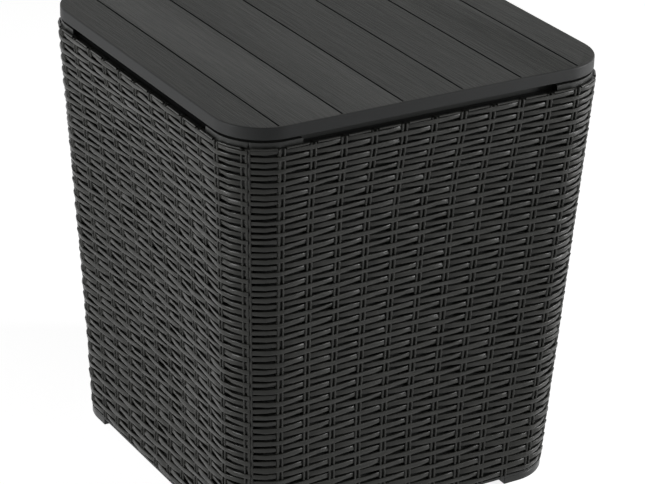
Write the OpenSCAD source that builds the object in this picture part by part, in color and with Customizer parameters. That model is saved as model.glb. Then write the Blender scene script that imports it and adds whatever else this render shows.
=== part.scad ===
// Resin storage side table: four woven-look wall panels meet at a seam in each corner,
// where an inner post joins them. They stand on corner feet, hold a floor panel, and
// carry corner caps and a planked lid that lifts off.
// Millimetres, +Z up, origin on the floor under the middle of the table.
// The front (-Y) and the left (-X) faces are the two faces seen from the front left.

/* [Overall] */
// Height from the floor to the top of the lid
table_h = 454; // [430:1:520]
// Width of the square body over the weave, at the weave's top edge
body_top_w = 416; // [412:1:424]
// Width of the square body over the weave, at floor level
body_floor_w = 373; // [360:1:390]
// Outer radius of the body's corners over the weave
corner_r = 52; // [50:1:56]

/* [Lid] */
// How far the lid's edge stands in from the weave's top edge
lid_inset = 3; // [2:0.5:6]
// Radius of the lid's corners, seen from above
lid_corner_r = 50; // [46:1:54]
// Height of the lid's skirt
lid_skirt_h = 12; // [10:0.5:14]
// Wall of the lid's skirt and thickness of its top
lid_wall = 3; // [2.4:0.1:4]
// Rounding of the lid's top edge
lid_edge_r = 1.5; // [1:0.1:2]
// Width of one plank, from groove to groove
plank_pitch = 65.2; // [50:0.1:80]
// Width of the groove between two planks
plank_groove_w = 2; // [1:0.1:3]
// Depth of the groove between two planks
plank_groove_d = 1.5; // [0.5:0.1:2]
// Plain margin between the groove ends and the lid's edge
plank_margin = 2.5; // [2:0.5:6]
// Spacing of the ribs under the lid
lid_rib_pitch = 60; // [40:1:90]
// Thickness of the ribs under the lid and under the floor
rib_t = 2.2; // [1.6:0.1:3]
// Depth that the lid's locating lip reaches below the lid's top plate
lip_h = 15; // [12:0.5:16]
// Thickness of the locating lip
lip_t = 2.5; // [2:0.1:4]
// How much narrower than the neck the lid's seat is, on each side
seat_in = 0.5; // [0.2:0.1:1]

/* [Body] */
// Height of the weave's top edge under the top of the lid
weave_top_drop = 21; // [20:0.5:24]
// Thickness of a wall panel, from the crests of the weave to its flat back
wall_t = 8; // [7:0.1:9]
// Thickness of the recessed neck that carries the lid
neck_t = 6; // [5:0.1:7]
// Height of the neck over the weave's top edge
neck_h = 13; // [12:0.5:14]
// Thickness of the shoulder between a wall panel and its neck
shoulder_t = 4; // [3:0.1:6]
// Thickness of the plain back of a wall panel, behind its weave
backing_t = 2.4; // [2:0.1:3]
// How far the seam in each corner stands past the corner's middle
seam_shift = 2.2; // [0:0.1:4]
// Width of the key ribs inside a wall panel, which the corner post grips
key_w = 2; // [1.5:0.1:3]
// Height of those key ribs
key_h = 3; // [2:0.1:4]
// Angle round the corner from the seam to each key rib
key_angle = 18; // [14:1:22]

/* [Corner posts] */
// Thickness of the curved plate of a corner post
post_t = 5.3; // [4.5:0.1:6]
// Angle round the corner from the seam to each edge of that plate
post_angle = 24; // [20:1:28]
// Diameter of the peg boss of a corner post
boss_d = 12; // [10:0.5:14]
// How far the boss stays behind the plate's outer face
boss_inset = 0.8; // [0.4:0.1:1.5]
// Diameter of the pegs on the corner caps and feet
peg_d = 5; // [4:0.1:6]
// Length of those pegs
peg_l = 14; // [8:1:24]

/* [Weave] */
// Width of a cell of the weave at its top edge, from one pair of uprights to the next
cell_w = 32.8; // [28:0.1:40]
// Height of the top row of strands
top_row_h = 6.38; // [6:0.01:6.8]
// Mean height of the rows of strands, which grow taller towards the floor
row_h = 7.05; // [6.5:0.01:8]
// Height of the plain rim under the weave
rim_h = 2.6; // [2:0.1:6]
// Depth of the rim and of the tops of the uprights, from the crests of the weave
rim_d = 1.2; // [0.8:0.1:2]
// Depth of the weave's top edge in the middle of a cell
edge_d = 2.4; // [1.6:0.1:3]
// Depth of the valley between two strands, in the middle of a cell
valley_d = 4.5; // [3:0.1:5]
// Depth of a strand's ridge where it passes behind a pair of uprights
under_d = 2.4; // [1.5:0.1:3.5]

/* [Corner caps and feet] */
// Length of a corner cap along each wall, from the corner of the lid
cap_reach = 66; // [60:1:80]
// How far a cap's wide collar stands in from the edge of the lid
cap_inset = 1; // [0.6:0.1:2]
// Height of that collar, under the lid's skirt
cap_collar_h = 5.8; // [4:0.1:7]
// Width of the parting line in the collar, over the seam
parting_w = 1; // [0.6:0.1:1.5]
// Depth of that parting line
parting_d = 1.2; // [0.6:0.1:2]
// Height of the corner feet
foot_h = 7.4; // [6:0.1:10]
// Length of a foot along each wall, from the corner of the body
foot_reach = 69; // [60:1:80]
// Width of a foot, inwards from its outer face
foot_w = 20; // [18:1:24]
// How far the foot's outer face stands in from the weave
foot_inset = 1; // [0.5:0.1:3]

/* [Floor] */
// Height of the rails over the bottom of the walls
rail_rise = 1; // [0.5:0.5:4]
// Thickness of the floor panel and of its rim
floor_t = 3; // [2:0.1:4]
// Height of the floor panel's rim
floor_rim_h = 12; // [8:1:20]
// Height of the rail on each wall that carries the floor panel
rail_h = 3; // [2:0.1:5]
// Depth of that rail, inwards from the wall
rail_d = 8; // [6:0.5:12]
// Length of that rail
rail_l = 200; // [120:5:220]
// Height of the ribs under the floor panel
floor_rib_h = 6; // [3:0.5:8]
// Spacing of the ribs under the floor panel
floor_rib_pitch = 70; // [50:1:100]

/* [Clearances] */
// Gap between a post and the inside of the wall panels
post_gap = 0.5; // [0.4:0.05:0.8]
// Gap between a key rib and its slot in the post
joint_gap = 0.2; // [0.1:0.05:0.4]
// Gap between two wall panels at their seam
seam_gap = 0.4; // [0.2:0.05:0.6]
// Gap between a peg and its hole, on the radius
peg_gap = 0.15; // [0.05:0.05:0.3]
// Gap between the end of a peg and the bottom of its hole
peg_end_gap = 2; // [1:0.5:4]
// Gap between faces that rest on each other
seat_gap = 0.1; // [0.05:0.05:0.3]
// Gap between the lid's skirt and the neck
skirt_gap = 4; // [3:0.5:6]
// Gap between the lid's locating lip and the neck
lip_gap = 1; // [0.5:0.1:2]
// Gap between the floor panel and the walls
floor_gap = 0.8; // [0.4:0.1:1.5]

/* [Hidden] */
$fn = 64;
resin = "#2b2c2b";
resin_lid = "#30312f";
resin_inside = "#262726";

lid_half = body_top_w / 2 - lid_inset;
lid_under_z = table_h - lid_wall;
skirt_bottom_z = table_h - lid_skirt_h;
weave_top_z = table_h - weave_top_drop;

// The walls lean outwards: the outer half width grows by lean for each mm of height
floor_half = body_floor_w / 2;
lean = (body_top_w / 2 - floor_half) / weave_top_z;
function outer_half(z) = floor_half + lean * z;
function inner_half(z) = outer_half(z) - wall_t;

// Each corner is round, and its axis leans with both walls
corner_axis = floor_half - corner_r;
corner_tilt = atan(lean * sqrt(2));
shell_in_r = corner_r - wall_t;
post_out_r = shell_in_r - post_gap;
boss_r = post_out_r - boss_d / 2 - boss_inset;
// The seam's angle round the leaning axis from the corner's middle
seam_turn = atan(tan(seam_shift / corner_r * 180 / PI) / cos(corner_tilt));
// Flats that make up a wall panel's half corner, behind its weave, and their laps
corner_steps = 4;
flat_lap = 0.25;

// The weave: rows of strands between the rim and the top edge, and cells up to each seam
rim_top_z = foot_h + rim_h;
weave_h = weave_top_z - rim_top_z;
row_count = round(weave_h / row_h);
row_step = 2 * (weave_h / row_count - top_row_h) / (row_count - 1);
cells = round(corner_run(weave_top_z) / cell_w);
relief_back = -wall_t + backing_t / 2;
function corner_run(z) = outer_half(z) - corner_r + corner_r * PI / 4;
function gap_z(n) = weave_top_z - n * (top_row_h + (n - 1) / 2 * row_step);
function strand_z(n) = (gap_z(n - 1) + gap_z(n)) / 2;

neck_half = lid_half - lid_wall - skirt_gap;
neck_in_half = neck_half - neck_t;
neck_top_z = weave_top_z + neck_h;
neck_corner_r = lid_corner_r - (lid_half - neck_half);
cap_half = lid_half - cap_inset;
cap_corner_r = lid_corner_r - cap_inset;
cap_start = lid_half - cap_reach;
lip_half = neck_in_half - lip_gap;
lip_corner_r = lid_corner_r - (lid_half - lip_half);

foot_half = floor_half - foot_inset;
foot_corner_r = corner_r - foot_inset;
foot_start = floor_half - foot_reach;

rail_z = foot_h + rail_rise;
floor_z = rail_z + rail_h + seat_gap;
floor_plate_half = inner_half(floor_z) - floor_gap;
floor_corner_r = corner_r - wall_t - floor_gap;
// How far solids that are joined run into each other, and how far long cuts run past the walls
overlap = 1;
past = 20;

// A square with round corners, from its half width and corner radius
module rounded_square(half, r) {
    square([2 * half, 2 * (half - r)], center = true);
    square([2 * (half - r), 2 * half], center = true);
    for (x = [-1, 1], y = [-1, 1])
        translate([x * (half - r), y * (half - r)]) circle(r);
}

// An upright ring that follows a rounded square
module ring(half, r, t, z0, z1) {
    translate([0, 0, z0])
        linear_extrude(z1 - z0)
            difference() {
                rounded_square(half, r);
                rounded_square(half - t, r - t);
            }
}

// A profile carried round the back right corner and along both sides to start.
// The profile's x is the distance outwards from the outline, its y is the height.
module corner_strip(half, r, start) {
    translate([half - r, half - r, 0])
        rotate_extrude(angle = 90) translate([r, 0]) children();
    strip_side(half, r, start) children();
    mirror([1, -1, 0]) strip_side(half, r, start) children();
}

module strip_side(half, r, start) {
    translate([half, half - r, 0])
        rotate([90, 0, 0]) linear_extrude(half - r - start) children();
}

// Everything between two heights
module between(z0, z1) {
    w = 2 * body_top_w;
    translate([-w / 2, -w / 2, z0]) cube([w, w, z1 - z0]);
}

// The frame of one corner: z up the leaning axis, x outwards along the diagonal
module on_corner(corner) {
    rotate([0, 0, 45 + 90 * corner])
        translate([corner_axis * sqrt(2), 0, 0])
            rotate([0, corner_tilt, 0]) children();
}

// A sector of a ring round the leaning axis of a corner
module ring_sector(r_in, r_out, from, to) {
    reach = 2 * r_out;
    intersection() {
        difference() {
            circle(r_out);
            circle(r_in);
        }
        polygon([[0, 0], reach * [cos(from), sin(from)], reach * [cos(to), sin(to)]]);
    }
}

// A section that runs up one corner along its leaning axis
module up_corner(corner) {
    on_corner(corner)
        translate([0, 0, -past])
            linear_extrude(weave_top_z + 3 * past) children();
}

// A rib or slot that points from a corner's axis to the wall, at an angle from the seam
module key(angle, r_in, w) {
    rotate(seam_turn + angle)
        translate([r_in, -w / 2]) square([shell_in_r + backing_t / 2 - r_in, w]);
}

// A point on the outside of the front wall: along it and round its half corners,
// and out from the crests of the weave
function on_skin(along, z, out) =
    let (flat = outer_half(z) - corner_r)
    let (turn = max(0, abs(along) - flat) / corner_r * 180 / PI)
    let (r = corner_r + out)
    [sign(along) * (min(abs(along), flat) + r * sin(turn)), -flat - r * cos(turn), z];

// A station of the front wall's shell: i steps round a half corner, at the end where x has
// the sign. The last one stops a lap short of the seam.
function arc_at(end, i) =
    i / corner_steps * (corner_r * PI / 4 + end * seam_shift - seam_gap / 2 - flat_lap);
function station(end, arc, z, out) = on_skin(end * (outer_half(z) - corner_r + arc), z, out);

// A station moved on by a lap, away from the next one
function lapped(at, next, z, out, lap) =
    let (from = station(at[0], at[1], z, out), to = station(next[0], next[1], z, out))
    from + lap * (from - to) / norm(from - to);

// The front wall's shell and its two half corners, flat by flat, between two heights and
// out to a depth. Each flat laps over the next one, but none runs past a seam.
module wall_shell(z0, z1, depth) {
    stations = [
        for (i = [corner_steps : -1 : 0]) [-1, arc_at(-1, i)],
        for (i = [0 : corner_steps]) [1, arc_at(1, i)]
    ];
    last = len(stations) - 2;
    for (i = [0 : last])
        hull()
            polyhedron(
                points = [
                    for (z = [z0, z1], out = [-wall_t, -depth]) each [
                        lapped(stations[i], stations[i + 1], z, out, i == 0 ? 0 : flat_lap),
                        lapped(stations[i + 1], stations[i], z, out, i == last ? 0 : flat_lap)
                    ]
                ],
                faces = [[0, 1, 2, 3, 4, 5, 6, 7]]
            );
}

// Distance along the wall to a pair of uprights, or to the seam past the last one
function pair_at(pair, z) =
    let (shift = pair == cells ? seam_shift - seam_gap / 2 : pair == -cells ? seam_shift + seam_gap / 2 : 0)
    pair * corner_run(z) / cells + shift;
function middle_at(pair, z) = (pair_at(pair, z) + pair_at(pair + 1, z)) / 2;

// Depth of a strand's ridge at a pair: over and behind by turns, as in a plain weave
function ridge_d(pair, row) =
    pair == -cells ? under_d / 2 : abs(pair + row) % 2 == 1 ? 0 : under_d;

// The points up one pair of uprights, and those of the valleys and ridges in a cell's middle
function pair_points(pair) = [
    on_skin(pair_at(pair, weave_top_z), weave_top_z, -rim_d),
    for (row = [1 : row_count])
        on_skin(pair_at(pair, strand_z(row)), strand_z(row), -ridge_d(pair, row)),
    on_skin(pair_at(pair, rim_top_z), rim_top_z, -rim_d)
];
function valley_points(pair) = [
    for (row = [0 : row_count])
        on_skin(middle_at(pair, gap_z(row)), gap_z(row), row == 0 ? -edge_d : -valley_d)
];
function ridge_points(pair) = [
    for (row = [1 : row_count])
        on_skin(middle_at(pair, strand_z(row)), strand_z(row), -under_d / 2)
];
function back_points(along_top, along_low) = [
    on_skin(along_top, weave_top_z, relief_back),
    on_skin(along_low, rim_top_z, relief_back)
];

// The relief of the weave over the shell of the front wall
module weave_relief() {
    pairs = [for (pair = [-cells : cells]) pair];
    rows = row_count + 2;
    up = [for (pair = pairs) each pair_points(pair)];
    mids = [for (pair = [-cells : cells - 1]) each valley_points(pair)];
    turns = [each ridge_points(-cells), each ridge_points(cells - 1)];
    backs = [
        each back_points(pair_at(-cells, weave_top_z), pair_at(-cells, rim_top_z)),
        each back_points(middle_at(-cells, weave_top_z), middle_at(-cells, rim_top_z)),
        each back_points(pair_at(1 - cells, weave_top_z), pair_at(1 - cells, rim_top_z)),
        each back_points(pair_at(cells - 1, weave_top_z), pair_at(cells - 1, rim_top_z)),
        each back_points(middle_at(cells - 1, weave_top_z), middle_at(cells - 1, rim_top_z)),
        each back_points(pair_at(cells, weave_top_z), pair_at(cells, rim_top_z))
    ];
    mid_0 = len(up);
    turn_0 = mid_0 + len(mids);
    back_0 = turn_0 + len(turns);
    last = 2 * cells;
    back_last = 5;
    // Where the points lie in the list: up a pair, in a valley, on a turn's ridge, on the back
    function u(i, n) = i * rows + n;
    function v(i, n) = mid_0 + i * (row_count + 1) + n;
    function m(i, n) = turn_0 + (i == 0 ? 0 : row_count) + n - 1;
    function b(i, low) = back_0 + 2 * i + low;
    sides = [for (i = [0 : last - 1], n = [0 : row_count])
        each [[u(i, n), v(i, n), u(i, n + 1)], [u(i + 1, n), u(i + 1, n + 1), v(i, n)]]];
    flats = [for (i = [1 : last - 2], n = [1 : row_count])
        each [[u(i, n), v(i, n - 1), u(i + 1, n)], [u(i, n), u(i + 1, n), v(i, n)]]];
    rounds = [for (i = [0, last - 1], n = [1 : row_count])
        each [
            [u(i, n), v(i, n - 1), m(i, n)], [u(i, n), m(i, n), v(i, n)],
            [m(i, n), v(i, n - 1), u(i + 1, n)], [m(i, n), u(i + 1, n), v(i, n)]
        ]];
    left_end = concat([for (n = [0 : rows - 1]) u(0, n)], [b(0, 1), b(0, 0)]);
    right_end = concat([for (n = [rows - 1 : -1 : 0]) u(last, n)], [b(back_last, 0), b(back_last, 1)]);
    top_edge = [for (i = [last : -1 : 1]) each [u(i, 0), v(i - 1, 0)]];
    low_edge = [for (i = [0 : last - 1]) each [u(i, rows - 1), v(i, row_count)]];
    top = concat(top_edge, [u(0, 0)], [for (i = [0 : back_last]) b(i, 0)]);
    low = concat(low_edge, [u(last, rows - 1)], [for (i = [back_last : -1 : 0]) b(i, 1)]);
    back = [for (i = [0 : back_last - 1])
        each [[b(i, 0), b(i, 1), b(i + 1, 1)], [b(i, 0), b(i + 1, 1), b(i + 1, 0)]]];
    polyhedron(
        points = concat(up, mids, turns, backs),
        faces = concat(sides, flats, rounds, [left_end, right_end, top, low], back),
        convexity = 10
    );
}

// Wall panel: shell, rim, weave, key ribs, shoulder, neck and the rail under the floor
module wall_panel(side) {
    color(resin) {
        intersection() {
            union() {
                up_corner(side + 3) key(-key_angle, shell_in_r - key_h, key_w);
                up_corner(side + 2) key(key_angle, shell_in_r - key_h, key_w);
            }
            between(foot_h, weave_top_z);
        }
        rotate([0, 0, 90 * side]) {
            wall_shell(rim_top_z, weave_top_z, wall_t - backing_t);
            wall_shell(foot_h, rim_top_z, rim_d);
            weave_relief();
            neck_l = 2 * (cap_start - joint_gap);
            shoulder_in = neck_half + wall_t / 2;
            translate([-neck_l / 2, -neck_half, weave_top_z - shoulder_t])
                cube([neck_l, neck_t, neck_h + shoulder_t]);
            translate([-neck_l / 2, -shoulder_in, weave_top_z - shoulder_t])
                cube([neck_l, shoulder_in - neck_in_half, shoulder_t]);
            rail_in = inner_half(rail_z) - rail_d;
            translate([-rail_l / 2, -inner_half(rail_z) - overlap, rail_z])
                cube([rail_l, inner_half(rail_z) + overlap - rail_in, rail_h]);
        }
    }
}

// Section of a corner post, grown by gap where it cuts the floor panel
module post_section(gap) {
    half = post_angle + gap / shell_in_r * 180 / PI;
    ring_sector(post_out_r - post_t - gap, post_out_r, seam_turn - half, seam_turn + half);
    translate([boss_r, 0]) circle(d = boss_d + 2 * gap);
}

// Corner post: a curved plate behind the seam, with slots for two keys and a peg boss
module corner_post(corner) {
    slot_w = key_w + 2 * joint_gap;
    slot_in_r = shell_in_r - key_h - joint_gap;
    hole_l = peg_l + peg_end_gap;
    hole_r = peg_d / 2 + peg_gap;
    color(resin_inside)
        difference() {
            intersection() {
                up_corner(corner)
                    difference() {
                        post_section(0);
                        key(-key_angle, slot_in_r, slot_w);
                        key(key_angle, slot_in_r, slot_w);
                    }
                between(foot_h + seat_gap, weave_top_z);
            }
            boss_pin(corner, foot_h - overlap, foot_h + hole_l, hole_r);
            boss_pin(corner, weave_top_z - hole_l, weave_top_z + overlap, hole_r);
        }
}

// Distance along a corner's boss to the point at a height
function boss_z(z) = (z + boss_r * sin(corner_tilt)) / cos(corner_tilt);

// A round pin in a corner's boss, between two heights
module boss_pin(corner, z0, z1, r) {
    on_corner(corner)
        translate([boss_r, 0, boss_z(z0)]) cylinder(r = r, h = boss_z(z1) - boss_z(z0));
}

// Corner cap: joins two necks over a post, with a collar nearly as wide as the lid
module corner_cap(corner) {
    bottom = weave_top_z + seat_gap;
    step = cap_half - neck_half;
    collar_r = cap_corner_r + (cap_half - cap_corner_r - corner_axis - lean * bottom) * sqrt(2);
    color(resin) {
        difference() {
            rotate([0, 0, 90 * corner])
                corner_strip(cap_half, cap_corner_r, cap_start)
                    union() {
                        translate([-step - neck_t, bottom]) square([step + neck_t, cap_collar_h]);
                        translate([-step - neck_t, bottom]) square([neck_t, neck_top_z - bottom]);
                    }
            up_corner(corner)
                rotate(seam_turn)
                    translate([collar_r - parting_d, -parting_w / 2]) square([past, parting_w]);
        }
        boss_pin(corner, weave_top_z - peg_l, bottom + overlap, peg_d / 2);
    }
}

// Corner foot: a plain block under two walls and a post
module corner_foot(corner) {
    color(resin) {
        rotate([0, 0, 90 * corner])
            corner_strip(foot_half, foot_corner_r, foot_start)
                translate([-foot_w, 0]) square([foot_w, foot_h - seat_gap]);
        boss_pin(corner, foot_h / 2, foot_h + peg_l, peg_d / 2);
    }
}

// Floor panel: a ribbed tray that rests on the four rails
module floor_panel() {
    rib_reach = foot_half - foot_w - rib_t;
    count = floor((rib_reach - rib_t) / floor_rib_pitch);
    color(resin_inside)
        difference() {
            union() {
                translate([0, 0, floor_z])
                    linear_extrude(floor_t) rounded_square(floor_plate_half, floor_corner_r);
                ring(floor_plate_half, floor_corner_r, floor_t, floor_z, floor_z + floor_rim_h);
                for (i = [-count : count], turn = [0, 90])
                    rotate([0, 0, turn])
                        translate([-rib_t / 2 + i * floor_rib_pitch, -rib_reach, floor_z - floor_rib_h])
                            cube([rib_t, 2 * rib_reach, floor_rib_h + overlap]);
            }
            for (corner = [0 : 3])
                up_corner(corner) post_section(floor_gap);
        }
}

// Lid: planked top, rounded skirt, locating lip, seat ring and ribs
module lid_deck() {
    seat_z = neck_top_z + seat_gap;
    seat_w = neck_t - 2 * seat_in;
    groove_half = lid_half - plank_margin;
    last = ceil(groove_half / plank_pitch);
    count = floor((lip_half - lip_t - rib_t) / lid_rib_pitch);
    color(resin_lid)
        difference() {
            union() {
                translate([0, 0, lid_under_z])
                    linear_extrude(lid_wall)
                        rounded_square(lid_half - lid_edge_r, lid_corner_r - lid_edge_r);
                for (corner = [0 : 3])
                    rotate([0, 0, 90 * corner])
                        corner_strip(lid_half, lid_corner_r, 0) skirt_profile();
                ring(lip_half, lip_corner_r, lip_t, lid_under_z - lip_h, lid_under_z);
                ring(neck_half - seat_in, neck_corner_r - seat_in, seat_w, seat_z, lid_under_z);
                for (i = [-count : count], turn = [0, 90])
                    rotate([0, 0, turn])
                        translate([-rib_t / 2 + i * lid_rib_pitch, -lip_half + lip_t / 2, seat_z])
                            cube([rib_t, 2 * lip_half - lip_t, lid_under_z - seat_z]);
            }
            for (i = [-last : last])
                plank_groove((i + 0.5) * plank_pitch, groove_half);
        }
}

// Section of the lid's skirt, outwards from the lid's outline
module skirt_profile() {
    translate([-lid_wall, skirt_bottom_z]) square([lid_wall, lid_skirt_h - lid_edge_r]);
    translate([-lid_wall, skirt_bottom_z]) square([lid_wall - lid_edge_r, lid_skirt_h]);
    translate([-lid_edge_r, table_h - lid_edge_r]) circle(lid_edge_r);
}

// One groove between two planks, left out where it would leave the lid's top
module plank_groove(x, half) {
    if (abs(x) < half - plank_groove_w) {
        bend = max(0, abs(x) + plank_groove_w / 2 - (lid_half - lid_corner_r));
        in = lid_corner_r - sqrt(pow(lid_corner_r, 2) - pow(bend, 2));
        reach = half - in;
        translate([x - plank_groove_w / 2, -reach, table_h - plank_groove_d])
            cube([plank_groove_w, 2 * reach, plank_groove_d + overlap]);
    }
}

module wall_front() { wall_panel(0); }
module wall_right() { wall_panel(1); }
module wall_back() { wall_panel(2); }
module wall_left() { wall_panel(3); }
module post_back_right() { corner_post(0); }
module post_back_left() { corner_post(1); }
module post_front_left() { corner_post(2); }
module post_front_right() { corner_post(3); }
module cap_back_right() { corner_cap(0); }
module cap_back_left() { corner_cap(1); }
module cap_front_left() { corner_cap(2); }
module cap_front_right() { corner_cap(3); }
module foot_back_right() { corner_foot(0); }
module foot_back_left() { corner_foot(1); }
module foot_front_left() { corner_foot(2); }
module foot_front_right() { corner_foot(3); }

lid_deck();
wall_front();
wall_right();
wall_back();
wall_left();
post_back_right();
post_back_left();
post_front_left();
post_front_right();
cap_back_right();
cap_back_left();
cap_front_left();
cap_front_right();
foot_back_right();
foot_back_left();
foot_front_left();
foot_front_right();
floor_panel();
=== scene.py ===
# Looks of the resin storage side table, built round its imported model.
# Sizes are in millimetres and become metres where a mesh or an object is made.
# Walls are numbered front, right, back, left; each is built in the front wall's frame and turned.
import math

import bmesh
import bpy
import numpy as np
from mathutils import Matrix, Vector


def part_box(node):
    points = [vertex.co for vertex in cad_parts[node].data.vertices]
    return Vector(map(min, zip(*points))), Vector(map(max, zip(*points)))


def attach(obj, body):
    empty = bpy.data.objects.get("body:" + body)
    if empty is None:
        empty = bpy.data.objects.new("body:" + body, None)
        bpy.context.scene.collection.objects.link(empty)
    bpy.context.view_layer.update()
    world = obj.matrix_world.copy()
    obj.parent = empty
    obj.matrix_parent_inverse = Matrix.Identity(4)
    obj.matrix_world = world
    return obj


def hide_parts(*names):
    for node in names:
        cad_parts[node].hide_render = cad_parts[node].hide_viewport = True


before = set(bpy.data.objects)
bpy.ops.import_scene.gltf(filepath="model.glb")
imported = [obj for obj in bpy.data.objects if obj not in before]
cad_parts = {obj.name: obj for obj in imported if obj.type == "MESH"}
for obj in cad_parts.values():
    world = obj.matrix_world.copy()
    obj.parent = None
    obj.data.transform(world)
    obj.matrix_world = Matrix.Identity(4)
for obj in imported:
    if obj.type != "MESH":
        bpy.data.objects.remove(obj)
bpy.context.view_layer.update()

MM = 0.001
WALLS = ("front", "right", "back", "left")
CORNERS = ("back_right", "back_left", "front_left", "front_right")


def mm(value):
    return value / MM


# The body, read from the frame: a wall is widest at the crest of its first strand
TOP_ROW_H = 6.38
WEAVE_TOP = mm(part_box("post_back_right")[1].z)
FIRST_CREST = WEAVE_TOP - TOP_ROW_H / 2
WALL_BOTTOM = mm(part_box("wall_front")[0].z)
NECK_TOP = mm(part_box("wall_front")[1].z)
FOOT_INSET = 1.0
BODY_FLOOR_HALF = mm(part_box("foot_back_right")[1].x) + FOOT_INSET
LEAN = (mm(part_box("wall_right")[1].x) - BODY_FLOOR_HALF) / FIRST_CREST
CORNER_R = 52.0
WALL_T = 8.0

# The neck that carries the lid, the shoulder round it, and the rail under the floor panel
NECK_FACE = 194.6
NECK_INSIDE = 192.0
NECK_REACH = 138.8
SHOULDER_T = 4.0
SHOULDER_CREST = -4.0
RAIL_L = 200.0
RAIL_D = 8.0
RAIL_H = 3.0
RAIL_LIFT = 1.0

# Between its corners each wall is dished: it curves inwards, most at half height.
# The dish starts at one height and takes the rise to reach its depth, and the fall to lose it.
DISH = 8.0
DISH_REACH = 180.0
DISH_BOTTOM = 16.0
DISH_RISE = 142.0
DISH_TOP = 415.0
DISH_FALL = 85.0

# The weave: 60 rows of strands, taller by a little from row to row, and pairs of upright bars
CELLS_TO_CORNER = 6
INNER_CELL = 0.9875
FIRST_GAP = 432.9
ROW_PITCH = 6.37
ROW_GROWTH = 0.0113
ROWS = 60
STRAND_FILL = 0.338
STRAND_DEPTH = 1.6

# Crest of a strand over a pair, beside a pair that it goes behind, and behind that pair
OVER = -0.15
UNDER = -1.5
HIDDEN = -5.0

# Stations of a strand from the middle of a pair: at its slit, at its edge and clear of it
PAIR_CORE = 1.0
PAIR_EDGE = 3.0
PAIR_CLEAR = 4.6
EDGE_DIP = 0.9
MIDDLE_BULGE = 0.15

# Unevenness of the strands: in height, in depth, in girth and in how they lie
SAG = 0.2
SWELL = 0.25
GIRTH = 0.05
TILT = 0.17
WANDER_LIMIT = 2
WANDER_SEED = 11

# The bars: their section, and how far they give way under a strand
BAR_OFFSET = 2.4
BAR_HALF = 1.4
BAR_DEPTH = 1.8
BAR_CREST = -0.8
BAR_SWAY = 0.35
BAR_ABOVE = 0.2
BAR_BELOW = 1.0
SLIT_DEPTH = 3.0
SLIT_SHARE = 0.8
SLIT_LEVELS = 30

# The seam between two walls: flatter bars on each side of a fine gap
SEAM = 2.2
SEAM_GAP = 0.12
SEAM_ROUND = 0.6
SEAM_STATIONS = (0.6, 2.0, 3.2)
STRAND_END_GAP = 0.3
STRIP_HALF = 1.15

# The shell behind the weave, with the lying strips that end it at the top and the rim below
BACKING = -6.6
TOP_STRIP_HALF = 0.9
TOP_STRIP_LIFT = 0.3
TOP_STRIP_DEPTH = 1.2
RIM_H = 2.6
RIM_CREST = -1.2
SHELL_LEVELS = 25
FLAT_STEPS = 17
TURN_STEPS = 9

# Points of a copied piece nearer than this are one; a face looks up when its normal is so upright
MERGE = 0.01
FACES_UP = 0.9

# Refractive index of the resin, and the levels of its noise that are fully dark and fully light
RESIN_IOR = 1.49
DARK_BELOW = 0.3
LIGHT_ABOVE = 0.7

# The camera of the photograph: place in metres, turns in degrees, lens and sensor in millimetres
VIEW_AT = (-1.27386, -2.13526, 1.37937)
VIEW_YAW = math.radians(-30.939)
VIEW_PITCH = math.radians(24.978)
VIEW_ROLL = math.radians(1.412)
VIEW_LENS = 150.55
SENSOR = 36.0

# The lamps, low on both sides and one above the front edge of the lid:
# name, place, aim and side in metres, and power in watts
LAMPS = (
    ("left_softbox", (-2.32, 0.2, 0.6), (0, 0, 0.25), 0.55, 27),
    ("right_softbox", (2.05, -1.15, 0.6), (0, 0, 0.25), 0.55, 38),
    ("edge_softbox", (1.12, -1.02, 2.11), (0, 0, 0.4), 0.3, 4),
)
FLOOR_REACH = 6.0
FLOOR_PAINT = (0.85, 0.85, 0.85, 1)
FLOOR_GLOW = 0.86
WHITE = (1, 1, 1, 1)


def outer_half(z):
    """Half width of the body over the crests of the weave at a height, at its corners."""
    return BODY_FLOOR_HALF + LEAN * z


def cell_width(z):
    """Distance between two pairs of bars, along the wall and round the corner."""
    return (outer_half(z) - CORNER_R + CORNER_R * math.pi / 4) / CELLS_TO_CORNER


def pair_at(pair, z):
    """Distance from the wall's middle to a pair; the cells next to a corner are a little wider."""
    return pair * cell_width(z) * (INNER_CELL if abs(pair) < CELLS_TO_CORNER else 1)


def dish(along, z):
    """How far the wall lies inside the plane of its corners."""
    across = np.cos(np.clip(np.abs(along) / DISH_REACH, 0, 1) * math.pi / 2)
    rise = np.sin(np.clip((z - DISH_BOTTOM) / DISH_RISE, 0, 1) * math.pi / 2)
    fall = np.sin(np.clip((DISH_TOP - z) / DISH_FALL, 0, 1) * math.pi / 2)
    return DISH * across * rise * fall


def skin(wall, along, z, out):
    """Points at a distance along a wall and its half corners, out from the crests of the weave."""
    along, z, out = np.broadcast_arrays(along, z, out)
    out = out - dish(along, z)
    flat = outer_half(z) - CORNER_R
    turn = np.clip(np.abs(along) - flat, 0, None) / CORNER_R
    x = np.sign(along) * (np.minimum(np.abs(along), flat) + (CORNER_R + out) * np.sin(turn))
    y = -(flat + (CORNER_R + out) * np.cos(turn))
    for _ in range(wall):
        x, y = -y, x
    return np.stack([x, y, z], axis=-1) * MM


# Finishes of a wall: the moulded weave, and the smooth shell that carries it
WOVEN = 0
SMOOTH = 1


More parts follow.
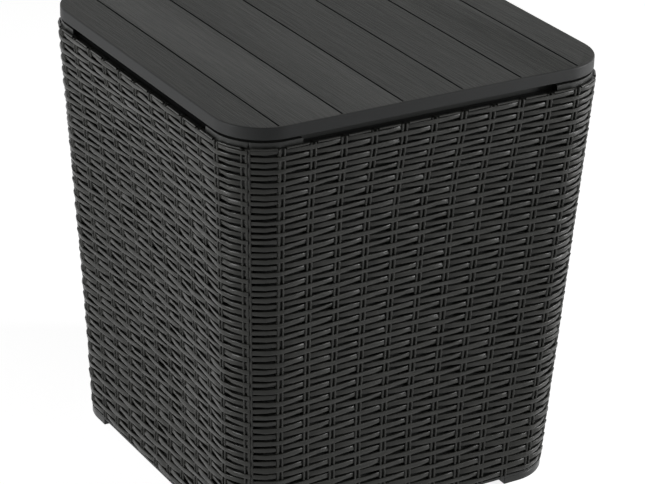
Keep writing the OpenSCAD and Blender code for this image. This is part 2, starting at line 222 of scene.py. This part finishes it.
class Shells:
    """Closed tubes gathered for one mesh: each is a stack of rings of points."""

    def __init__(self):
        self.points = []
        self.faces = []
        self.finishes = []
        self.count = 0

    def add(self, rings, finish=WOVEN):
        many, size = rings.shape[:2]
        first = self.count
        self.points.append(rings.reshape(-1, 3))
        self.count += many * size
        ring, step = np.meshgrid(np.arange(many - 1), np.arange(size), indexing="ij")
        after = (step + 1) % size
        low = first + ring * size
        high = low + size
        quads = np.stack([low + step, low + after, high + after, high + step], axis=-1)
        self.faces.extend(quads.reshape(-1, 4).tolist())
        self.faces.append(list(range(first + size - 1, first - 1, -1)))
        self.faces.append(list(range(self.count - size, self.count)))
        self.finishes.extend([finish] * (len(self.faces) - len(self.finishes)))

    def piece(self, name, *finishes):
        mesh = bpy.data.meshes.new(name)
        mesh.from_pydata(np.concatenate(self.points).tolist(), [], self.faces)
        mesh.polygons.foreach_set("material_index", self.finishes)
        shape = bmesh.new()
        shape.from_mesh(mesh)
        bmesh.ops.recalc_face_normals(shape, faces=shape.faces)
        shape.to_mesh(mesh)
        shape.free()
        mesh.shade_smooth()
        mesh.set_sharp_from_angle(angle=math.radians(50))
        for material in finishes:
            mesh.materials.append(material)
        return add_object(name, mesh)


def add_object(name, data):
    """A new object of the scene that shows a mesh, a lamp or a camera."""
    obj = bpy.data.objects.new(name, data)
    bpy.context.scene.collection.objects.link(obj)
    return obj


def crosses_over(pair, row):
    return (pair + row) % 2 == 1


def rows():
    """Centre and pitch of each row of strands, from the top down."""
    gaps = [FIRST_GAP - ROW_PITCH * n - ROW_GROWTH * n * n for n in range(ROWS + 1)]
    return [((high + low) / 2, high - low) for high, low in zip(gaps, gaps[1:])]


def strand_path(row, z):
    """Stations of a strand from left to right: distance from the wall's middle, and crest."""
    path = []
    for pair in range(-CELLS_TO_CORNER, CELLS_TO_CORNER):
        left, right = pair_at(pair, z), pair_at(pair + 1, z)
        over_left, over_right = crosses_over(pair, row), crosses_over(pair + 1, row)
        if pair == -CELLS_TO_CORNER:
            left, over_left = left + SEAM, False
            path += [(left + station, UNDER) for station in SEAM_STATIONS]
        else:
            path += [
                (left + PAIR_CORE, OVER if over_left else HIDDEN),
                (left + PAIR_EDGE, OVER if over_left else UNDER - EDGE_DIP),
            ]
        near, far = (OVER if over else UNDER for over in (over_left, over_right))
        path += [
            (left + PAIR_CLEAR, near),
            ((left + right) / 2, (near + far) / 2 + MIDDLE_BULGE),
            (right - PAIR_CLEAR, far),
            (right - PAIR_EDGE, OVER if over_right else UNDER - EDGE_DIP),
            (right - PAIR_CORE, OVER if over_right else HIDDEN),
        ]
    path[-1] = (pair_at(CELLS_TO_CORNER, z) + SEAM - SEAM_GAP / 2 - STRAND_END_GAP, far)
    return np.array(path)


def strand_section():
    """Outline of a strand, up it and out of it: a broad face, eased edges and steep sides."""
    half = [(0.0, 0.0), (0.5, -0.02), (0.84, -0.1), (0.97, -0.3), (1.0, -0.75), (0.9, -1.8)]
    outline = half + [(0.0, -2.0)] + [(-up, out) for up, out in half[:0:-1]]
    return np.array(outline).T


def add_strands(shells, wall):
    """The strands of a wall. Each wanders a little, as the real rattan that such a mould copies."""
    up, outwards = strand_section()
    wander = np.random.default_rng(wall + WANDER_SEED)
    knots = np.arange(2 * CELLS_TO_CORNER * 2 + 1) / 2 - CELLS_TO_CORNER
    for row, (centre, pitch) in enumerate(rows(), start=1):
        path = strand_path(row, centre)
        places = path[:, 0] / cell_width(centre)
        loose = wander.normal(0, 1, (4, len(knots))).clip(-WANDER_LIMIT, WANDER_LIMIT)
        sag, swell, girth, tilt = (np.interp(places, knots, some)[:, None] for some in loose)
        tall = STRAND_FILL * pitch * (1 + GIRTH * girth)
        z = centre + SAG * sag + tall * up[None, :]
        out = path[:, 1:] + SWELL * swell + STRAND_DEPTH * outwards[None, :]
        out = out + TILT * tilt * tall * up[None, :]
        shells.add(skin(wall, path[:, :1], z, np.minimum(out, 0)))


def add_bar(shells, wall, pair, offset, half, depth=BAR_DEPTH):
    """One upright bar: it gives way a little under each strand that crosses over it."""
    turn = np.radians([0, 30, 60, 90, 120, 150, 180])
    across = np.concatenate([[half], half * np.cos(turn), [-half]])
    heights, crests = [], []
    for row, (centre, pitch) in enumerate(rows(), start=1):
        sway = -BAR_SWAY if crosses_over(pair, row) else BAR_SWAY
        heights += [centre + pitch / 2, centre]
        crests += [BAR_CREST, BAR_CREST + sway]
    heights = np.array([WEAVE_TOP + BAR_ABOVE] + heights[1:] + [WALL_BOTTOM + BAR_BELOW])
    crests = np.array([BAR_CREST] + crests[1:] + [BAR_CREST])
    out = crests[:, None] - depth + depth * np.concatenate([[0], np.sin(turn), [0]])[None, :]
    out[:, 0] = out[:, -1] = BACKING
    along = pair_at(pair, heights)[:, None] + offset + across[None, :]
    shells.add(skin(wall, along, heights[:, None], out))


def add_slit(shells, wall, pair, offset):
    """The bottom of the slit between the two bars of a pair."""
    heights = np.linspace(WEAVE_TOP, WALL_BOTTOM + BAR_BELOW, SLIT_LEVELS)
    across = offset + BAR_OFFSET * SLIT_SHARE * np.array([-1, 1, 1, -1])
    out = np.array([-SLIT_DEPTH, -SLIT_DEPTH, BACKING, BACKING])
    along = pair_at(pair, heights)[:, None] + across[None, :]
    shells.add(skin(wall, along, heights[:, None], out[None, :]))


def add_bars(shells, wall):
    """All the bars of a wall: the pairs, and at its seams the last pair and the single strip."""
    for pair in range(1 - CELLS_TO_CORNER, CELLS_TO_CORNER):
        add_bar(shells, wall, pair, -BAR_OFFSET, BAR_HALF)
        add_slit(shells, wall, pair, 0)
        add_bar(shells, wall, pair, BAR_OFFSET, BAR_HALF)
    last = SEAM - SEAM_GAP / 2 - BAR_HALF
    add_bar(shells, wall, CELLS_TO_CORNER, last - 2 * BAR_OFFSET, BAR_HALF)
    add_slit(shells, wall, CELLS_TO_CORNER, last - BAR_OFFSET)
    add_bar(shells, wall, CELLS_TO_CORNER, last, BAR_HALF, SEAM_ROUND)
    first = SEAM + SEAM_GAP / 2 + STRIP_HALF
    add_bar(shells, wall, -CELLS_TO_CORNER, first, STRIP_HALF, SEAM_ROUND)


def add_top_strips(shells, wall):
    """A short lying strip over each cell, where the weave ends under the shoulder."""
    up, outwards = strand_section()
    z = WEAVE_TOP + TOP_STRIP_LIFT + TOP_STRIP_HALF * up[None, :]
    out = BAR_CREST + TOP_STRIP_DEPTH * outwards[None, :]
    for pair in range(-CELLS_TO_CORNER, CELLS_TO_CORNER):
        left, right = pair_at(pair, WEAVE_TOP), pair_at(pair + 1, WEAVE_TOP)
        ends = np.array([[left + PAIR_CLEAR], [(left + right) / 2], [right - PAIR_CLEAR]])
        shells.add(skin(wall, ends, z, out))


def add_band(shells, wall, profile, reach=None):
    """A section carried along a wall; it goes round both half corners unless reach ends it before."""
    levels = np.array([level for level, _ in profile])
    out = np.array([depth for _, depth in profile])
    flat = outer_half(levels) - CORNER_R
    if reach:
        along = np.array([[-reach], [reach]])
    else:
        low_end = math.pi / 4 - (SEAM + SEAM_GAP / 2) / CORNER_R
        high_end = math.pi / 4 + (SEAM - SEAM_GAP / 2) / CORNER_R
        turns = np.linspace(0, 1, TURN_STEPS)[:, None]
        left = -flat[None, :] - CORNER_R * low_end * turns[::-1]
        middle = flat[None, :] * np.linspace(-1, 1, FLAT_STEPS)[1:-1, None]
        right = flat[None, :] + CORNER_R * high_end * turns
        along = np.concatenate([left, middle, right])
    shells.add(skin(wall, along, levels[None, :], out[None, :]), SMOOTH)


def upright(half, low, high):
    """Depths that keep a section at one half width between two heights."""
    return [(low, half - outer_half(low)), (high, half - outer_half(high))]


def add_shell(shells, wall):
    """What carries the weave: the shell, the rim, the neck, the shoulder and the floor's rail."""
    back = -WALL_T
    levels = np.linspace(WALL_BOTTOM, WEAVE_TOP, SHELL_LEVELS)
    add_band(shells, wall, [(z, BACKING) for z in levels] + [(z, back) for z in levels[::-1]])
    rim_top = WALL_BOTTOM + RIM_H
    rim = [(WALL_BOTTOM, RIM_CREST), (rim_top, RIM_CREST), (rim_top, BACKING), (WALL_BOTTOM, BACKING)]
    add_band(shells, wall, rim)
    shoulder = WEAVE_TOP - SHOULDER_T
    neck = upright(NECK_FACE, shoulder, NECK_TOP) + upright(NECK_INSIDE, shoulder, NECK_TOP)[::-1]
    add_band(shells, wall, neck, reach=NECK_REACH)
    ledge = [(shoulder, SHOULDER_CREST), (WEAVE_TOP, SHOULDER_CREST)]
    ledge += upright(NECK_INSIDE, shoulder, WEAVE_TOP)[::-1]
    add_band(shells, wall, ledge, reach=NECK_REACH)
    rail_z = WALL_BOTTOM + RAIL_LIFT
    rail_top, rail_end = rail_z + RAIL_H, back - RAIL_D
    rail = [(rail_z, back), (rail_top, back), (rail_top, rail_end), (rail_z, rail_end)]
    add_band(shells, wall, rail, reach=RAIL_L / 2)


def wall_piece(wall, name):
    shells = Shells()
    add_strands(shells, wall)
    add_bars(shells, wall)
    add_top_strips(shells, wall)
    add_shell(shells, wall)
    piece = shells.piece("woven_" + name, materials["weave"], materials["inside"])
    join_frame(piece, "body", "wall_" + name)


def softened(node, body, material, edge, plain=None):
    """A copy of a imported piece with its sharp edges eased, which stands for it.

    With a plain material given, the first one stays only on the faces that look up.
    """
    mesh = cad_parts[node].data.copy()
    shape = bmesh.new()
    shape.from_mesh(mesh)
    bmesh.ops.remove_doubles(shape, verts=shape.verts, dist=MERGE * MM)
    bmesh.ops.dissolve_limit(shape, angle_limit=math.radians(1), verts=shape.verts, edges=shape.edges)
    shape.to_mesh(mesh)
    shape.free()
    mesh.materials.clear()
    mesh.materials.append(material)
    if plain:
        mesh.materials.append(plain)
        for face in mesh.polygons:
            face.material_index = 0 if face.normal.z > FACES_UP else 1
    piece = add_object("resin_" + node, mesh)
    bevel = piece.modifiers.new("eased_edges", "BEVEL")
    bevel.width = edge * MM
    bevel.segments = 2
    bevel.limit_method = "ANGLE"
    bevel.angle_limit = math.radians(40)
    bevel.use_clamp_overlap = True
    mesh.shade_smooth()
    mesh.set_sharp_from_angle(angle=math.radians(35))
    join_frame(piece, body, node)


def join_frame(piece, body, node):
    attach(piece, body)
    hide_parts(node)


def linear(code):
    """A colour in linear light from its sRGB hex code."""
    parts = [int(code[i:i + 2], 16) / 255 for i in (1, 3, 5)]
    return [p / 12.92 if p <= 0.04045 else ((p + 0.055) / 1.055) ** 2.4 for p in parts] + [1.0]


def add_node(tree, kind, settings=None, **links):
    """A node with its settings, and with its named inputs linked or set."""
    node = tree.nodes.new(kind)
    for key, value in (settings or {}).items():
        setattr(node, key, value)
    for key, value in links.items():
        socket = node.inputs[key.replace("_", " ")]
        if isinstance(value, bpy.types.NodeSocket):
            tree.links.new(value, socket)
        else:
            socket.default_value = value
    return node


def resin(name, dark, light, roughness, grain, bump, gloss=0.25):
    """Charcoal polypropylene: one noise gives both its two near shades and its relief.

    The grain's length along each axis and the relief's height are in mm.
    """
    material = bpy.data.materials.new(name)
    material.use_nodes = True
    tree = material.node_tree
    tree.nodes.clear()
    place = add_node(tree, "ShaderNodeTexCoord").outputs["Object"]
    counts = [1 / (size * MM) for size in grain]
    scaled = add_node(tree, "ShaderNodeMapping", Vector=place, Scale=counts).outputs["Vector"]
    noise = add_node(tree, "ShaderNodeTexNoise", Vector=scaled, Scale=1.0, Detail=3.0, Roughness=0.55)
    shade = add_node(tree, "ShaderNodeValToRGB", Fac=noise.outputs["Fac"])
    low, high = shade.color_ramp.elements
    low.position = DARK_BELOW
    low.color = linear(dark)
    high.position = LIGHT_ABOVE
    high.color = linear(light)
    relief = add_node(tree, "ShaderNodeBump", Height=noise.outputs["Fac"], Strength=1.0,
                      Distance=bump * MM)
    shader = add_node(tree, "ShaderNodeBsdfPrincipled", Base_Color=shade.outputs["Color"],
                      Normal=relief.outputs["Normal"], Roughness=roughness, IOR=RESIN_IOR,
                      Specular_IOR_Level=gloss)
    add_node(tree, "ShaderNodeOutputMaterial", Surface=shader.outputs["BSDF"])
    return material


materials = {
    # Weave moulded with fine striations along each strand: satin, so strands glint where they turn
    "weave": resin("moulded_weave_resin", "#262725", "#373733",
                   roughness=0.31, grain=(9, 9, 0.8), bump=0.28),
    # Planks moulded with a wood grain: long fine streaks, and a top that looks matt and even
    "lid": resin("wood_grain_lid_resin", "#222322", "#4a4b48",
                 roughness=0.6, grain=(1.2, 50, 1.2), bump=0.6, gloss=0.2),
    # The lid's edge, moulded plain: smooth and a shade darker than the planks
    "skirt": resin("smooth_lid_resin", "#252626", "#2a2b2b",
                   roughness=0.5, grain=(1, 1, 1), bump=0.02, gloss=0.2),
    # Caps and feet from a smooth mould: a soft sheen round their corners
    "trim": resin("satin_trim_resin", "#2f302f", "#343533",
                  roughness=0.36, grain=(1, 1, 1), bump=0.02),
    # Shell, posts and floor, plain from the mould: dull, so the gaps of the weave stay dark
    "inside": resin("smooth_inside_resin", "#2a2b2a", "#303130",
                    roughness=0.5, grain=(1, 1, 1), bump=0.03),
}


def add_pieces():
    """The table: four woven walls, the lid, the corners' pieces and the floor panel."""
    for number, name in enumerate(WALLS):
        wall_piece(number, name)
    lid, trim, inside = (materials[finish] for finish in ("lid", "trim", "inside"))
    softened("lid_deck", "lid", lid, edge=0.35, plain=materials["skirt"])
    for corner in CORNERS:
        softened("cap_" + corner, "body", trim, edge=0.5)
        softened("foot_" + corner, "body", trim, edge=0.6)
        softened("post_" + corner, "body", inside, edge=0.4)
    softened("floor_panel", "body", inside, edge=0.4)


def softbox(name, at, aim, side, power):
    """A square lamp that the camera doesn't see."""
    data = bpy.data.lights.new(name, "AREA")
    data.size = side
    data.energy = power
    lamp = add_object(name, data)
    lamp.location = at
    lamp.visible_camera = False
    lamp.rotation_euler = (Vector(aim) - Vector(at)).to_track_quat("-Z", "Y").to_euler()


def seen_directly(tree):
    """One for what the camera sees itself or by gloss and transmission, nought for light on the object."""
    path = add_node(tree, "ShaderNodeLightPath").outputs
    total = path["Is Camera Ray"]
    for ray in ("Is Glossy Ray", "Is Transmission Ray"):
        both = add_node(tree, "ShaderNodeMath", {"operation": "ADD"})
        tree.links.new(total, both.inputs[0])
        tree.links.new(path[ray], both.inputs[1])
        total = both.outputs["Value"]
    return total


def studio_world():
    """Surroundings that look white and shed no light of their own on the object."""
    world = bpy.data.worlds.new("studio")
    bpy.context.scene.world = world
    world.use_nodes = True
    tree = world.node_tree
    tree.nodes.clear()
    white = add_node(tree, "ShaderNodeBackground", Color=WHITE, Strength=seen_directly(tree))
    add_node(tree, "ShaderNodeOutputWorld", Surface=white.outputs["Background"])


def pale_floor():
    """A pale floor that takes the object's shadow and glows a little to the eye only."""
    mesh = bpy.data.meshes.new("floor")
    corners = [(x * FLOOR_REACH, y * FLOOR_REACH, 0) for x, y in ((-1, -1), (1, -1), (1, 1), (-1, 1))]
    mesh.from_pydata(corners, [], [(0, 1, 2, 3)])
    floor = add_object("studio_floor", mesh)
    material = bpy.data.materials.new("pale_floor")
    material.use_nodes = True
    tree = material.node_tree
    tree.nodes.clear()
    paint = add_node(tree, "ShaderNodeBsdfDiffuse", Color=FLOOR_PAINT)
    glow = add_node(tree, "ShaderNodeEmission", Color=WHITE, Strength=FLOOR_GLOW)
    both = add_node(tree, "ShaderNodeAddShader")
    tree.links.new(paint.outputs["BSDF"], both.inputs[0])
    tree.links.new(glow.outputs["Emission"], both.inputs[1])
    mix = add_node(tree, "ShaderNodeMixShader", Fac=seen_directly(tree))
    tree.links.new(paint.outputs["BSDF"], mix.inputs[1])
    tree.links.new(both.outputs["Shader"], mix.inputs[2])
    add_node(tree, "ShaderNodeOutputMaterial", Surface=mix.outputs["Shader"])
    mesh.materials.append(material)


def camera():
    """The eye of the photograph: its place, and how it is turned and rolled."""
    level = math.cos(VIEW_PITCH)
    back = Vector((math.sin(VIEW_YAW) * level, -math.cos(VIEW_YAW) * level, math.sin(VIEW_PITCH)))
    right = (-back).cross(Vector((0, 0, 1))).normalized()
    up = right.cross(-back)
    turned_right = math.cos(VIEW_ROLL) * right + math.sin(VIEW_ROLL) * up
    turned_up = -math.sin(VIEW_ROLL) * right + math.cos(VIEW_ROLL) * up
    data = bpy.data.cameras.new("view")
    data.lens = VIEW_LENS
    data.sensor_width = SENSOR
    data.sensor_fit = "HORIZONTAL"
    eye = add_object("view", data)
    turn = Matrix((turned_right, turned_up, back)).transposed()
    eye.matrix_world = Matrix.Translation(VIEW_AT) @ turn.to_4x4()
    bpy.context.scene.camera = eye


add_pieces()
for lamp_values in LAMPS:
    softbox(*lamp_values)
studio_world()
pale_floor()
camera()
bpy.context.scene.view_settings.view_transform = "Standard"
